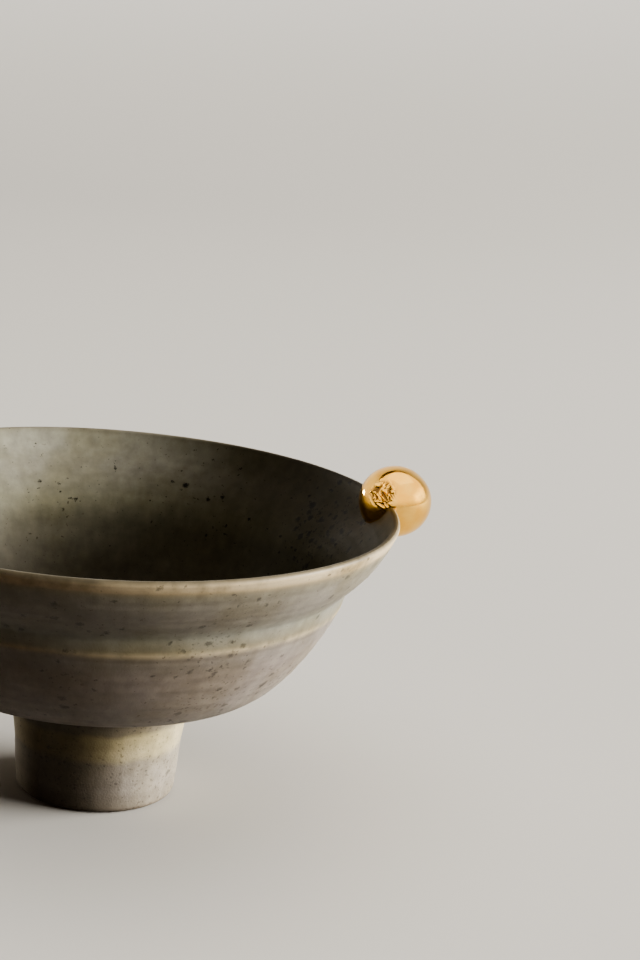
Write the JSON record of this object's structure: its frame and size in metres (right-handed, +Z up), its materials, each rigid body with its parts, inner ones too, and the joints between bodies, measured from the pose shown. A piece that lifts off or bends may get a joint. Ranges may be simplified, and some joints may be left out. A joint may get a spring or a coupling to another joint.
{
  "type": "footed bowl",
  "caption": "Wide footed stoneware bowl with a stepped wall, an open hollow foot and a gold ball slotted over its rim.",
  "frame": {"origin": "on the surface it stands on, under the middle of its outline box; the bowl's own axis is 9.95 mm towards -X", "axes": "+Z up, +X towards the gold ball on the rim"},
  "size_m": [0.2698, 0.25, 0.1466],
  "materials": {
    "glazed_stoneware": "satin olive-grey and taupe glaze with iron specks, tan where it thins on the lip and ridge",
    "gold_lustre": "mirror gold lustre over glaze"
  },
  "bodies": {
    "root": {"footed_bowl": "glazed_stoneware", "gold_ball": "gold_lustre"}
  },
  "joints": []
}
